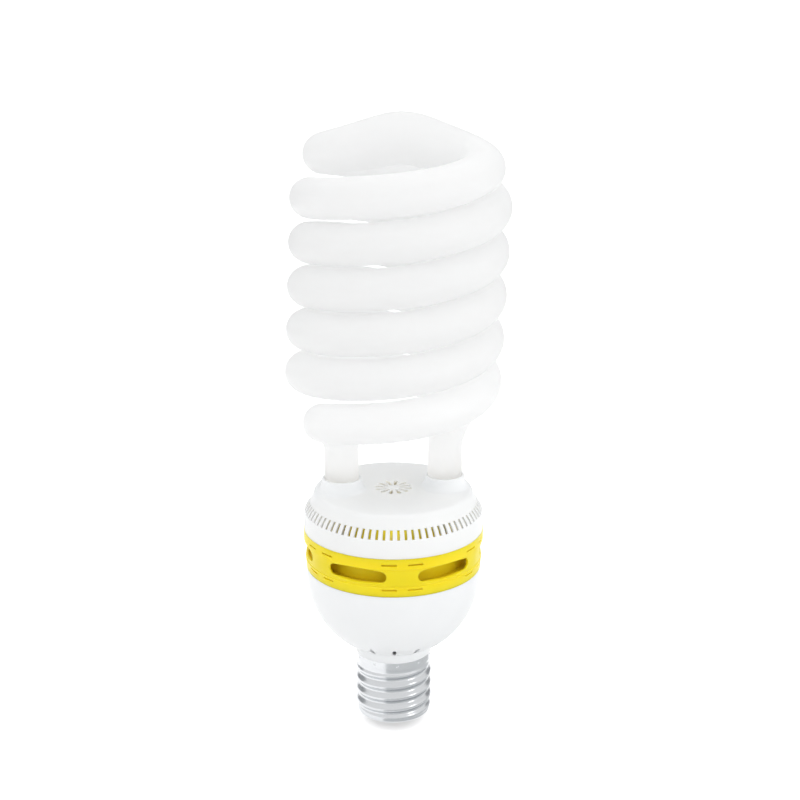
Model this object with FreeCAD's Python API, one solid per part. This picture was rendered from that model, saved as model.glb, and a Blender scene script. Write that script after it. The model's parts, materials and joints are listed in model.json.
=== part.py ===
import FreeCAD, Part
import math
import os

# Spiral energy saving bulb, in millimetres.
# The bulb stands on its centre contact: z = 0 is the contact face, +Z runs up the axis.
# The two legs of the glass tube stand on the X axis, and the front of the bulb is -Y.

# Fits between pieces
SLIDE = 0.2            # gap between pieces that slide together
LAP = 0.2              # how far a wall or post runs into the wall that carries it
WALL = 1.8             # wall of the moulded housings

# Centre contact and the glass round it
CONTACT_R = 7.0
CONTACT_H = 1.4
CONTACT_EDGE = 0.5     # rounding of the contact's rim
CONTACT_FLOOR = 3.0    # depth of metal below the wire's bore
SHANK_R = 2.2
GLASS_RIM = 1.6        # glass that shows round the contact
GLASS_H = 8.0          # glass above the contact's head
GLASS_FLANGE = 3.0     # how far the glass reaches behind the cap's lip
GLASS_FLANGE_T = 1.2
GLASS_SLOPE = 2.0      # top of the glass inside its flange
GLASS_EDGE = 0.4       # edge of the glass below the cap's lip

# Screw cap, Edison size 39
CAP_CREST_R = 19.6     # outside of the thread
CAP_WAVE = 0.85        # half the depth of the thread
CAP_PITCH = 6.35       # four threads to the inch
CAP_SHEET = 0.45       # brass sheet
CAP_SKIRT_R = 19.1     # plain top of the cap
CAP_LIP_R = 13.4       # opening that the glass fills
CAP_BEND = 1.8         # radius of the bend into the lower edge
CAP_LIP_Z = 5.2        # lower edge, above the contact face
CAP_THREAD_H = 27.6
CAP_STEP_H = 1.4       # slope between the thread and the skirt
CAP_SKIRT_H = 3.8
CAP_FADE = 4.0         # height over which the thread rises from the plain cap
CAP_CREST_H = 6.7      # first crest on the front, above the foot of the thread
THREAD_POINTS = 12     # points of the thread's path in a turn
DIMPLES = 10           # punch marks that hold the cap on the neck
DIMPLE_BALL = 1.2
DIMPLE_DEPTH = 0.25
DIMPLE_DROP = 1.6      # below the top of the cap

# Bowl
NECK_STEP = 0.3        # how far the neck stands out over the cap
NECK_H = 4.5
NECK_FLOOR = 1.5       # where the neck's bore meets the bowl, below the neck's top
NECK_VENTS = 16
NECK_VENT_START = -94.7
NECK_VENT_W = 2.0
NECK_VENT_H = 4.8
NECK_VENT_LIFT = 6.1   # middle of a vent above the neck
SPIGOT_LIFT = 3.0      # foot of the spigot inside the cap, above the glass
SPIGOT_EASE = 0.6      # spigot's shoulder above the cap's skirt line
BOWL_R = 44.3
BOWL_H = 43.4
BOWL_POWER = 2.2       # fullness of the bowl's curve, 2 is an ellipse
BOWL_POINTS = 8
BOWL_CROWDING = 1.6    # how closely the points gather at the neck
TONGUE_STEP = 0.4      # inside step where the tongue leaves the bowl
RIBS = 4
RIB_T = 1.6
RIB_H = 16.6
RIB_SLOPE = 4.0
RIB_REACH = 4.6        # how far a rib reaches under the board
RIB_STEP = 2.9         # top of a rib's outer part, below the ring's floor

# Vent ring
RING_PROUD = 1.2       # ring's top edge over the bowl
RING_H = 20.3
RING_WALL = 2.1
RING_FOOT = 2.0        # wall round the bowl's tongue
BAND_DRAFT = 0.4       # slope of the lower band
BAND_LOW_H = 5.1
BAND_TOP_H = 5.4
BELT_STEP_LOW = 0.3    # how far the belt of openings lies behind the lower band
BELT_STEP_TOP = 0.5    # and behind the upper one
BELT_EASE = 0.4        # height of the slope into the upper band
FLOOR_LIFT = 3.7       # floor above the bowl's edge
FLOOR_T = 1.4
DECK_RISE = 10.2       # clear height between floor and deck
DECK_T = 1.6
BAFFLE_GAP = 7.9       # outside of the ring to the baffle
BAFFLE_WALL = 1.6
OPENINGS = 6
OPENING_START = 240.0
OPENING_SPAN = 39.4    # degrees
OPENING_H = 6.0
OPENING_LIFT = 0.3     # above the middle of the clear height
OPENING_THROAT = 2.6   # depth at which an opening starts to widen outwards
OPENING_FLARE = 0.5    # how much it widens in each millimetre of depth
STRUT_SLOT_SPAN = 9.5  # degrees
STRUT_SLOT_GAP = 3.5   # degrees from the middle of the strut to a slot
STRUT_SLOT_H = 0.8
STRUT_SLOT_DEPTH = 1.9
STRUT_SLOT_RISE = 6.5  # above the middle of the openings
STRUT_SLOT_DROP = 6.8  # below it
DECK_VENTS = 24
DECK_VENT_R = 1.5
LEAD_HOLE_R = 2.4
POSTS = 4
POST_R = 2.5
POST_INSET = 4.1       # post's axis inside the edge of the board

# Upper cover
COVER_INSET = 0.2      # cover's foot inside the ring's edge
COVER_DRAFT = 0.3
COVER_WALL_H = 9.5
SHOULDER_H = 10.9
SHOULDER_RUN = 5.0
SHOULDER_BULGE = 1.54  # height of the shoulder's arc over its chord
SHOULDER_THICK = 3.4   # thickness under the crease, where the slits end as grooves
SPIGOT_STEP = 1.0      # inside step of the cover above the ring
SLITS = 80
SLIT_W = 1.45
SLIT_H = 9.0
SLIT_DEPTH = 4.0       # floor of a slit inside the foot of the shoulder
SLIT_LIFT = 0.4        # above the foot of the shoulder
PETALS = 12
PETAL_START = 15.0
PETAL_R0 = 3.4
PETAL_R1 = 9.8
PETAL_POINT = 1.0      # length of a petal's pointed end
PETAL_W0 = 0.9
PETAL_W1 = 2.1
COLLAR_WALL = 1.2
COLLAR_H = 6.3
COLLAR_FLARE = 2.8
COLLAR_FLARE_H = 3.9
COLLAR_SWELL = 0.6     # how far the flare's curve lies outside the collar at a third of its height
COLLAR_DRAFT = 0.15
COLLAR_EDGE = 0.4
COLLAR_INSET = 1.2     # flare's edge inside the crease of the shoulder
CUP_WALL = 1.5
CUP_DEPTH = 9.6        # cement cup below the plate

# Glass tube
LEG_R = 8.6
LEG_SINK = 10.0        # end of the leg below the plate
LEG_ROUND = 2.0
CEMENT_GAP = 1.8
CEMENT_LIFT = 2.4      # cement above the end of the leg
TAPER_LIFT = 3.3       # start of the taper above the collar
TAPER_H = 11.0
TUBE_R = 9.86
COIL_R = 43.6
COIL_PITCH = 43.05     # rise of one strand in a turn, twice the band spacing
COIL_LIFT = 17.7       # strand over its own leg, above the taper
COIL_LEAN = 2.5        # degrees that the glass coil stands out of true
LEAN_LIFT = 38.5       # height about which it leans, above the taper
JOIN_ANGLE = 65.0      # turn from the leg to the start of the even helix
JOIN_PULL_LEG = 20.0
JOIN_PULL_COIL = 38.0
BEND_SHARES = (0.0, 0.3, 0.55, 0.8)
HELIX_STEP = 65.0      # degrees of helix to one pair of arcs
BRIDGE_ANGLE = 1049.5  # turn from the leg at which the strand leaves the circle for the bridge
SHRINK_SPAN = 60.0     # degrees before that over which it closes in
BRIDGE_R = 41.0        # the strand's circle where it leaves
BRIDGE_BEND = 13.0     # bend from the circle into the bar across the top
BRIDGE_RISE = 11.8     # from there to the middle of the bar
BRIDGE_SLOPE = 0.27    # rise of the bar for each mm along, before it levels out
BRIDGE_ROUND = 8.0     # length over which each half levels out at the axis
BRIDGE_STEPS = 14      # sections to each half of the bridge
CROWN_R = 12.5         # blown middle of the bar

# Board, pins and wires
BOARD_GAP = 0.4        # edge of the board to the baffle
BOARD_T = 1.6
BOARD_LIFT = 0.2       # underside of the board above the ring's floor
LEAD_R = 0.35
LEAD_SPREAD = 4.5      # leads on either side of the leg's axis
PIN_W = 1.0
PIN_DROP = 1.5         # top of a pin below the deck
WRAP_DROP = 6.0        # foot of the wound lead below the top of its pin
WRAP_H = 3.5
WRAP_T = 0.7
WRAP_CLEAR = 0.25
WIRE_R = 0.8
WIRE_BORE = 0.1        # clearance of a wire in its hole
WIRE_BEND = 5.0
TAP_CLEAR = 0.4
NEUTRAL_LIFT = 1.6     # neutral wire above the skirt's lower edge
NEUTRAL_Y = -3.4

# Components under the board
CAN_R = 9.0
CAN_H = 32.0
CAN_PLACE = 10.2       # distance of a can from both middle lines
CAN_EDGE = 0.8
CAN_BEAD = 0.6         # depth of the rolled groove
CAN_BEAD_Z = 3.2       # groove below the board
CHOKE_Y = -15.5
CHOKE_GAP = 2.0        # core below the board
CORE_W = 25.0
CORE_H = 20.0
CORE_T = 7.2
CORE_YOKE = 3.5
CORE_WINDOW = 5.8
BOBBIN_WALL = 0.7
BOBBIN_PLATE_T = 1.0
BOBBIN_PLATE_W = 18.4
BOBBIN_PLATE_D = 17.6
BOBBIN_FOOT = 1.4
BOBBIN_FOOT_INSET = 1.3
WINDING_INSET = 0.2
WINDING_DEPTH = 16.4
WINDING_ROUND = 3.0
TOROID_PLACE = (-20.4, -13.8)
TOROID_R = 6.0
TOROID_BORE = 3.4
TOROID_H = 5.0
TOROID_WIRE = 0.6
TOROID_TURNS = (120, 240)
SINK_INSET = 5.2       # face of the heat sink inside the board's edge
SINK_T = 1.5
SINK_W = 29.0
SINK_H = 20.0
TRANSISTOR_Y = 7.5
TRANSISTOR_W = 10.0
TRANSISTOR_T = 4.4
TRANSISTOR_BODY = 9.2
TRANSISTOR_TAB = 6.2
TRANSISTOR_TAB_T = 1.3
TRANSISTOR_LEG = 6.2
TRANSISTOR_PITCH = 2.54
TRANSISTOR_LEG_W = 0.8
TRANSISTOR_LEG_T = 0.5
TRANSISTOR_LEG_X = 2.2
FILM_INSET = 10.4      # film capacitors inside the board's edge
FILM_ROUND = 1.2
RESONANT_SIZE = (7.5, 18.0, 15.0)
RESONANT_Y = -5.0
COUPLING_SIZE = (6.0, 13.0, 12.0)
COUPLING_Y = 12.2
DRUM_INSET = 7.8       # input choke inside the board's edge
DRUM_ANGLE = -54.4
DRUM_R = 4.6
DRUM_CORE_R = 2.4
DRUM_H = 12.0
DRUM_PLATE = 1.6
DRUM_FILL = 0.4        # wire below the drum's rim
AXIAL_BEND = 0.8
AXIAL_STUB = 1.6       # lead beyond the body's end
AXIAL_ROOT = 0.3       # lead inside the body
FUSE_PLACE = (-23.0, 19.0)
FUSE_SIZE = (2.2, 9.0)
DIODES = 4
DIODE_INSET = 10.1
DIODE_GAP = 6.0
DIODE_SIZE = (1.35, 5.2)
DIAC_INSET = 7.6
DIAC_SIZE = (1.0, 4.0)

# Heights, from the contact up
GLASS_TOP_Z = CONTACT_H + GLASS_H
CAP_THREAD_Z0 = CAP_LIP_Z + CAP_BEND
CAP_THREAD_Z1 = CAP_THREAD_Z0 + CAP_THREAD_H
CAP_SKIRT_Z = CAP_THREAD_Z1 + CAP_STEP_H
CAP_TOP_Z = CAP_SKIRT_Z + CAP_SKIRT_H
NECK_TOP_Z = CAP_TOP_Z + NECK_H
BOWL_TOP_Z = NECK_TOP_Z + BOWL_H
FLOOR_Z = BOWL_TOP_Z + FLOOR_LIFT
FLOOR_TOP = FLOOR_Z + FLOOR_T
DECK_Z = FLOOR_TOP + DECK_RISE
DECK_TOP = DECK_Z + DECK_T
OPENING_Z = (FLOOR_TOP + DECK_Z) / 2 + OPENING_LIFT
RING_TOP_Z = BOWL_TOP_Z + RING_H
SHOULDER_Z = RING_TOP_Z + COVER_WALL_H
PLATE_Z = SHOULDER_Z + SHOULDER_H
PLATE_UNDER = PLATE_Z - WALL
COLLAR_TOP_Z = PLATE_Z + COLLAR_H
LEG_Z = PLATE_Z - LEG_SINK
TAPER_Z0 = COLLAR_TOP_Z + TAPER_LIFT
TAPER_Z1 = TAPER_Z0 + TAPER_H
COIL_BASE_Z = TAPER_Z1 + COIL_LIFT
COIL_LEAN_Z = TAPER_Z1 + LEAN_LIFT
BOARD_Z = FLOOR_Z + BOARD_LIFT
BOARD_TOP = BOARD_Z + BOARD_T
PIN_TOP = DECK_Z - PIN_DROP
NEUTRAL_Z = CAP_SKIRT_Z + NEUTRAL_LIFT

# Radii and places, from the cap and the bowl
CAP_MEAN_R = CAP_CREST_R - CAP_WAVE
NECK_R = CAP_SKIRT_R + NECK_STEP
RING_R = BOWL_R + RING_PROUD
RING_INNER_R = RING_R - RING_WALL
FOOT_R = BOWL_R - RING_FOOT
TONGUE_R = FOOT_R - SLIDE
BAFFLE_R = RING_R - BAFFLE_GAP
BOARD_R = BAFFLE_R - BAFFLE_WALL - BOARD_GAP
COVER_R = RING_R - COVER_INSET
SHOULDER_R = COVER_R - COVER_DRAFT
CREASE_R = SHOULDER_R - SHOULDER_RUN
BORE_R = LEG_R + SLIDE
COLLAR_R = BORE_R + COLLAR_WALL
LEG_X = CREASE_R - COLLAR_INSET - COLLAR_R - COLLAR_FLARE
CUP_R = LEG_R + CEMENT_GAP
SINK_X = SINK_INSET - BOARD_R
DRUM_X = (BOARD_R - DRUM_INSET) * math.cos(math.radians(DRUM_ANGLE))
DRUM_Y = (BOARD_R - DRUM_INSET) * math.sin(math.radians(DRUM_ANGLE))
WRAP_IN = PIN_W / 2 + WRAP_CLEAR
LEAD_PLACES = [(x, y) for x in (-LEG_X, LEG_X) for y in (-LEAD_SPREAD, LEAD_SPREAD)]
V = FreeCAD.Vector
AXIS = V(0, 0, 1)


def rv(r, z):
    """A point of a turned profile."""
    return V(r, 0, z)


def line(a, b):
    return Part.LineSegment(a, b).toShape()


def lines(points):
    """Straight edges from point to point."""
    return [line(a, b) for a, b in zip(points[:-1], points[1:])]


def arc(a, mid, b):
    return Part.Arc(a, mid, b).toShape()


def turned(edges):
    """Turn a closed loop of edges about Z."""
    return Part.Face(Part.Wire(edges)).revolve(V(0, 0, 0), AXIS, 360)


def turned_points(points):
    """Turn a straight-sided profile about Z."""
    corners = [rv(r, z) for r, z in points]
    return Part.Face(Part.makePolygon(corners + corners[:1])).revolve(V(0, 0, 0), AXIS, 360)


def bowed(a, b, bulge):
    """Middle of the arc of a profile that bulges outwards between two points."""
    chord = b - a
    side = V(chord.z, 0, -chord.x).normalize()
    if side.x < 0:
        side = side * -1.0
    return (a + b) * 0.5 + side * bulge


def rod(r, z0, z1, x=0.0, y=0.0):
    return Part.makeCylinder(r, z1 - z0, V(x, y, z0))


def pipe_ring(r_out, r_in, z0, z1, x=0.0, y=0.0):
    return rod(r_out, z0, z1, x, y).cut(rod(r_in, z0, z1, x, y))


def block(x0, x1, y0, y1, z0, z1):
    return Part.makeBox(x1 - x0, y1 - y0, z1 - z0, V(x0, y0, z0))


def centred_block(x, y, width, depth, z0, z1):
    return block(x - width / 2, x + width / 2, y - depth / 2, y + depth / 2, z0, z1)


def spun(shape, count, start=0.0):
    """Copies of a shape evenly about Z."""
    copies = []
    for k in range(count):
        copy = shape.copy()
        copy.rotate(V(0, 0, 0), AXIS, start + 360.0 * k / count)
        copies.append(copy)
    return copies


def sector(r0, r1, z0, z1, angle0, angle1):
    """A piece of a ring between two angles."""
    corners = [rv(r0, z0), rv(r1, z0), rv(r1, z1), rv(r0, z1), rv(r0, z0)]
    piece = Part.Face(Part.makePolygon(corners)).revolve(V(0, 0, 0), AXIS, angle1 - angle0)
    piece.rotate(V(0, 0, 0), AXIS, angle0)
    return piece


def racetrack(x, half_w, half_h, z, upright=False):
    """A slot outline with round ends on the plane at x."""
    r = half_w if upright else half_h
    flat = (half_h if upright else half_w) - r

    def at(u, v):
        return V(x, v, z + u) if upright else V(x, u, z + v)
    a, b, c, d = at(-flat, -r), at(flat, -r), at(flat, r), at(-flat, r)
    return Part.Wire([line(a, b), arc(b, at(flat + r, 0), c), line(c, d), arc(d, at(-flat - r, 0), a)])


def one_solid(shape):
    """The single solid of a boolean result."""
    return shape.removeSplitter().Solids[0]


def sewn(faces):
    """Solid inside a closed skin of faces."""
    skin = Part.makeCompound(faces)
    skin.sewShape()
    solid = Part.Solid(skin.Shells[0])
    if solid.Volume < 0:
        solid.reverse()
    return solid


def save(name, shape):
    shape.exportStep("parts/" + name + ".step")


# Glass tube

def leaned(point):
    """Lean a point of the upright coil about the Y axis."""
    a = math.radians(COIL_LEAN)
    h = point.z - COIL_LEAN_Z
    x = point.x * math.cos(a) + h * math.sin(a)
    z = h * math.cos(a) - point.x * math.sin(a)
    return V(x, point.y, z + COIL_LEAN_Z)


def half_turn(point):
    """Turn a point by 180 degrees about the coil's own leaning axis."""
    a = math.radians(COIL_LEAN)
    h = point.z - COIL_LEAN_Z
    x = point.x * math.cos(a) - h * math.sin(a)
    z = point.x * math.sin(a) + h * math.cos(a)
    return leaned(V(-x, -point.y, z + COIL_LEAN_Z))


def smooth(share):
    """Share from 0 to 1 that starts and ends level."""
    return share * share * (3 - 2 * share)


def coil_point(turn):
    """Upright strand that starts over the left leg; turn is in degrees from there."""
    a = math.radians(180.0 + turn)
    closing = max(0.0, 1 - (BRIDGE_ANGLE - turn) / SHRINK_SPAN)
    r = COIL_R - (COIL_R - BRIDGE_R) * smooth(closing)
    return V(r * math.cos(a), r * math.sin(a), COIL_BASE_Z + COIL_PITCH * turn / 360.0)


def bridge_rise(along, length):
    """Height of the bridge over its start: on from the helix, up the bar, level at the axis."""
    climb = length - BRIDGE_ROUND
    top = BRIDGE_RISE - BRIDGE_SLOPE * BRIDGE_ROUND / 2
    slope = COIL_PITCH / (2 * math.pi * BRIDGE_R)
    t = min(along / climb, 1.0)
    rise = climb * (slope * (t ** 3 - 2 * t * t + t) + BRIDGE_SLOPE * (t ** 3 - t * t)) + top * smooth(t)
    past = max(0.0, along - climb)
    return rise + BRIDGE_SLOPE * past * (1 - past / (2 * BRIDGE_ROUND))


def bridge_point(share):
    """Half of the bridge over the top, from the helix at 0 to the axis at 1."""
    a0 = math.radians(180.0 + BRIDGE_ANGLE)
    reach = BRIDGE_R - BRIDGE_BEND
    turning = math.pi - math.acos(BRIDGE_BEND / reach)
    bend = BRIDGE_BEND * turning
    bar = math.sqrt(reach ** 2 - BRIDGE_BEND ** 2)
    along = share * (bend + bar)
    a = a0 + min(along, bend) / BRIDGE_BEND
    left = 1 - max(0.0, along - bend) / bar
    x = reach * math.cos(a0) + BRIDGE_BEND * math.cos(a)
    y = reach * math.sin(a0) + BRIDGE_BEND * math.sin(a)
    return V(x * left, y * left, coil_point(BRIDGE_ANGLE).z + bridge_rise(along, bend + bar))


def station(curve, t):
    """Point and direction of travel on a curve."""
    d = 1e-4
    way = curve(t + d) - curve(t - d)
    return curve(t), way.normalize()


def helix_stations():
    """Stations along the left strand, from the end of the leg's bend to the start of the bridge."""
    count = int(round((BRIDGE_ANGLE - JOIN_ANGLE) / HELIX_STEP))
    turns = [JOIN_ANGLE + (BRIDGE_ANGLE - JOIN_ANGLE) * k / count for k in range(count + 1)]
    return [station(lambda u: leaned(coil_point(u)), turn) for turn in turns]


def bridge_stations():
    """Stations of the whole bridge, each with its radius."""
    shares = [k / BRIDGE_STEPS for k in range(BRIDGE_STEPS + 1)]
    half = [station(lambda u: leaned(bridge_point(u)), share) for share in shares]
    radii = [TUBE_R + (CROWN_R - TUBE_R) * smooth(share) for share in shares]
    rest = [turned_station(*row) for row in reversed(half[:-1])]
    rest = [(point, way * -1.0) for point, way in rest]
    return list(zip(half + rest, radii + radii[-2::-1]))


def turned_station(point, way):
    """The same station of the right strand."""
    base = half_turn(point)
    return base, (half_turn(point + way) - base).normalize()


def leg_stations(x, end, way):
    """Stations on the bend from a leg onto the helix."""
    start = V(x, 0, TAPER_Z1)
    b1 = start + AXIS * JOIN_PULL_LEG
    b2 = end - way * JOIN_PULL_COIL

    def bend(t):
        s = 1.0 - t
        return start * s ** 3 + b1 * (3 * s * s * t) + b2 * (3 * s * t * t) + end * t ** 3
    return [station(bend, t) for t in BEND_SHARES]


def corner_arc(a, corner, b):
    """Arc that touches both lines of a corner whose sides are equal."""
    u = a - corner
    w = b - corner
    d = u.Length
    m = u * (1.0 / d) + w * (1.0 / w.Length)
    if m.Length < 1e-6:
        return line(a, b)
    m = m * (1.0 / m.Length)
    cosine = u.dot(m) / d
    sine = math.sqrt(max(0.0, 1 - cosine * cosine))
    return arc(a, corner + m * (d * (1 - sine) / cosine), b)


def biarc(p0, t0, p1, t1):
    """Two tangent arcs from one station to the next."""
    v = p1 - p0
    a = 2 * (t0.dot(t1) - 1)
    b = -2 * v.dot(t0 + t1)
    c = v.dot(v)
    d = -c / b if abs(a) < 1e-9 else (-b - math.sqrt(b * b - 4 * a * c)) / (2 * a)
    q0 = p0 + t0 * d
    q1 = p1 - t1 * d
    middle = (q0 + q1) * 0.5
    return [corner_arc(p0, q0, middle), corner_arc(middle, q1, p1)]


def swept_arcs(section, edges):
    """Side faces of a round tube along a chain of tangent arcs and lines, and its last section."""
    faces = []
    for edge in edges:
        curve = edge.Curve
        if hasattr(curve, "Radius"):
            angle = math.degrees(edge.Length / curve.Radius)
            faces += section.revolve(curve.Center, curve.Axis, angle).Faces
            section = section.copy()
            section.rotate(curve.Center, curve.Axis, angle)
        else:
            way = edge.Vertexes[-1].Point - edge.Vertexes[0].Point
            faces += section.extrude(way).Faces
            section = section.copy()
            section.translate(way)
    return faces, section


def blown_bridge(section):
    """Side faces of the bridge, which swells towards its middle, and its last section."""
    rows = bridge_stations()
    (point, way), radius = rows[0]
    seam = section.Vertexes[0].Point - point
    rings = []
    for (point, heading), radius in rows:
        seam = FreeCAD.Rotation(way, heading).multVec(seam)
        way = heading
        ring = Part.Circle(point, way, radius)
        ring.XAxis = seam
        rings.append(ring.toShape())
    skin = Part.makeLoft([Part.Wire([ring]) for ring in rings], False)
    return skin.Faces, rings[-1]


def glass_leg(x):
    """Straight leg that widens to the tube of the coil."""
    plain = rod(LEG_R, LEG_Z, TAPER_Z0, x)
    edge = [e for e in plain.Edges if abs(e.BoundBox.ZMax - LEG_Z) < 1e-6]
    plain = plain.makeFillet(LEG_ROUND, edge)
    cone = Part.makeCone(LEG_R, TUBE_R, TAPER_H, V(x, 0, TAPER_Z0))
    return [plain, cone]


def arc_chain(rows):
    """Tangent arcs through a row of stations."""
    edges = []
    for (p0, t0), (p1, t1) in zip(rows[:-1], rows[1:]):
        edges += biarc(p0, t0, p1, t1)
    return edges


def discharge_tube():
    left = helix_stations()
    right = [turned_station(*row) for row in left]
    up = leg_stations(-LEG_X, *left[0]) + left
    down = [(point, way * -1.0) for point, way in reversed(leg_stations(LEG_X, *right[0]) + right)]
    first = Part.Circle(up[0][0], AXIS, TUBE_R).toShape()
    sides, last = swept_arcs(first, arc_chain(up))
    bridge, last = blown_bridge(last)
    back, last = swept_arcs(last, arc_chain(down))
    ends = [Part.Face(Part.Wire([first])), Part.Face(Part.Wire([last]))]
    skin = sewn(sides + bridge + back + ends)
    return one_solid(skin.fuse(glass_leg(-LEG_X) + glass_leg(LEG_X)))


# Upper cover

def cover_shell():
    """Turned body of the upper cover with the spigot that enters the ring."""
    spigot = RING_INNER_R - SLIDE
    rim = rv(COVER_R, RING_TOP_Z)
    top = rv(SHOULDER_R, SHOULDER_Z)
    crease = rv(CREASE_R, PLATE_Z)
    plate = [crease, rv(0, PLATE_Z), rv(0, PLATE_UNDER), rv(CREASE_R - SHOULDER_THICK, PLATE_UNDER)]
    inside = [rv(SHOULDER_R - WALL, SHOULDER_Z), rv(SHOULDER_R - WALL, RING_TOP_Z + 2 * SPIGOT_STEP),
              rv(spigot - WALL, RING_TOP_Z + SPIGOT_STEP), rv(spigot - WALL, DECK_TOP + SLIDE),
              rv(spigot, DECK_TOP + SLIDE), rv(spigot, RING_TOP_Z), rim]
    shoulder = arc(top, bowed(top, crease, SHOULDER_BULGE), crease)
    return turned([line(rim, top), shoulder] + lines(plate + inside))


def collar(x):
    """Collar around a leg, with the cement cup below the plate."""
    flare = COLLAR_R + COLLAR_FLARE
    base = rv(flare, PLATE_Z)
    waist = rv(COLLAR_R + COLLAR_DRAFT, PLATE_Z + COLLAR_FLARE_H)
    swell = rv(COLLAR_R + COLLAR_DRAFT + COLLAR_SWELL, PLATE_Z + COLLAR_FLARE_H / 3)
    above = [waist, rv(COLLAR_R, COLLAR_TOP_Z - COLLAR_EDGE), rv(COLLAR_R - COLLAR_EDGE, COLLAR_TOP_Z),
             rv(BORE_R, COLLAR_TOP_Z), rv(BORE_R, PLATE_UNDER), rv(flare, PLATE_UNDER), base]
    ring = turned([arc(base, swell, waist)] + lines(above))
    cup = pipe_ring(CUP_R + CUP_WALL, CUP_R, PLATE_UNDER - CUP_DEPTH, PLATE_UNDER)
    piece = ring.fuse(cup)
    piece.translate(V(x, 0, 0))
    return piece


def petal():
    """Cutter for one slit of the rosette."""
    z = PLATE_UNDER - WALL
    broad = PETAL_R1 - PETAL_POINT
    corners = [V(PETAL_R0, -PETAL_W0 / 2, z), V(broad, -PETAL_W1 / 2, z), V(PETAL_R1, 0, z),
               V(broad, PETAL_W1 / 2, z), V(PETAL_R0, PETAL_W0 / 2, z)]
    return Part.Face(Part.makePolygon(corners + corners[:1])).extrude(V(0, 0, 3 * WALL))


def slit():
    """Cutter for one slit of the shoulder: through the wall at its foot, a groove above."""
    middle = SHOULDER_Z + SLIT_LIFT + SLIT_H / 2
    outline = racetrack(SHOULDER_R - SLIT_DEPTH, SLIT_W / 2, SLIT_H / 2, middle, True)
    return Part.Face(outline).extrude(V(SLIT_DEPTH + WALL, 0, 0))


def upper_cover():
    bores = [rod(BORE_R, PLATE_UNDER - WALL, PLATE_Z + WALL, x) for x in (-LEG_X, LEG_X)]
    cutters = spun(slit(), SLITS, -90) + spun(petal(), PETALS, PETAL_START)
    body = cover_shell().cut(Part.makeCompound(bores + cutters))
    return one_solid(body.fuse([collar(-LEG_X), collar(LEG_X)]))


# Vent ring

def ring_opening():
    """Cutter for one opening, wider outside than inside."""
    half_w = RING_R * math.sin(math.radians(OPENING_SPAN / 2))
    half_h = OPENING_H / 2
    wide = OPENING_FLARE * 2 * OPENING_THROAT
    inside = racetrack(BAFFLE_R + BAFFLE_WALL, half_w, half_h, OPENING_Z)
    throat = racetrack(RING_R - OPENING_THROAT, half_w, half_h, OPENING_Z)
    mouth = racetrack(RING_R + OPENING_THROAT, half_w + wide, half_h + wide, OPENING_Z)
    back = Part.makeLoft([inside, throat], True, True)
    front = Part.makeLoft([throat, mouth], True, True)
    return back.fuse(front)


def strut_slots():
    """Cutters for the narrow slots above and below each strut."""
    cutters = []
    for middle in (OPENING_Z - STRUT_SLOT_DROP, OPENING_Z + STRUT_SLOT_RISE):
        z0 = middle - STRUT_SLOT_H / 2
        for first in (-STRUT_SLOT_GAP - STRUT_SLOT_SPAN, STRUT_SLOT_GAP):
            slot = sector(RING_R - STRUT_SLOT_DEPTH, RING_R + WALL, z0, z0 + STRUT_SLOT_H,
                          first, first + STRUT_SLOT_SPAN)
            cutters += spun(slot, OPENINGS, -90)
    return cutters


def ring_wall():
    """Turned wall of the ring: two bands with the belt of openings behind them."""
    low_z = BOWL_TOP_Z + BAND_LOW_H
    top_z = RING_TOP_Z - BAND_TOP_H
    low_r = BOWL_R + BAND_DRAFT
    return turned_points([(FOOT_R, BOWL_TOP_Z), (BOWL_R, BOWL_TOP_Z), (low_r, low_z),
                          (low_r - BELT_STEP_LOW, low_z + BELT_STEP_LOW),
                          (RING_R - BELT_STEP_TOP, top_z - BELT_EASE), (RING_R, top_z), (RING_R, RING_TOP_Z),
                          (RING_INNER_R, RING_TOP_Z), (RING_INNER_R, FLOOR_TOP), (FOOT_R, FLOOR_Z)])


def vent_ring():
    inner = RING_INNER_R + LAP
    baffle = pipe_ring(BAFFLE_R, BAFFLE_R - BAFFLE_WALL, FLOOR_Z, DECK_TOP)
    floor = pipe_ring(inner, BAFFLE_R - LAP, FLOOR_Z, FLOOR_TOP)
    deck = rod(inner, DECK_Z, DECK_TOP)
    posts = spun(rod(POST_R, BOARD_TOP, DECK_Z + LAP, BOARD_R - POST_INSET), POSTS, 45)
    body = ring_wall().fuse([baffle, floor, deck] + posts)
    holes = [rod(LEAD_HOLE_R, DECK_Z - WALL, DECK_TOP + WALL, x, y) for x, y in LEAD_PLACES]
    middle = (BAFFLE_R + RING_INNER_R) / 2
    vents = spun(rod(DECK_VENT_R, DECK_Z - WALL, DECK_TOP + WALL, middle), DECK_VENTS)
    openings = spun(ring_opening(), OPENINGS, OPENING_START)
    return one_solid(body.cut(Part.makeCompound(holes + vents + strut_slots() + openings)))


# Lower bowl

def bowl_r(z):
    """Outer radius of the bowl at a height."""
    depth = BOWL_H / (1 - (NECK_R / BOWL_R) ** BOWL_POWER) ** (1 / BOWL_POWER)
    return BOWL_R * (1 - ((BOWL_TOP_Z - z) / depth) ** BOWL_POWER) ** (1 / BOWL_POWER)


def bowl_curve(offset):
    """Curve of the bowl from the neck up, or of its inside at an offset."""
    d = 0.05
    points = []
    for k in range(BOWL_POINTS + 1):
        z = NECK_TOP_Z + BOWL_H * (k / BOWL_POINTS) ** BOWL_CROWDING
        rise = 0.0 if k == BOWL_POINTS else (bowl_r(z + d) - bowl_r(z)) / d
        n = math.hypot(1, rise)
        points.append(rv(bowl_r(z) - offset / n, z + offset * rise / n))
    curve = Part.BSplineCurve()
    curve.interpolate(points)
    return curve.toShape(), points[0], points[-1]


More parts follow.
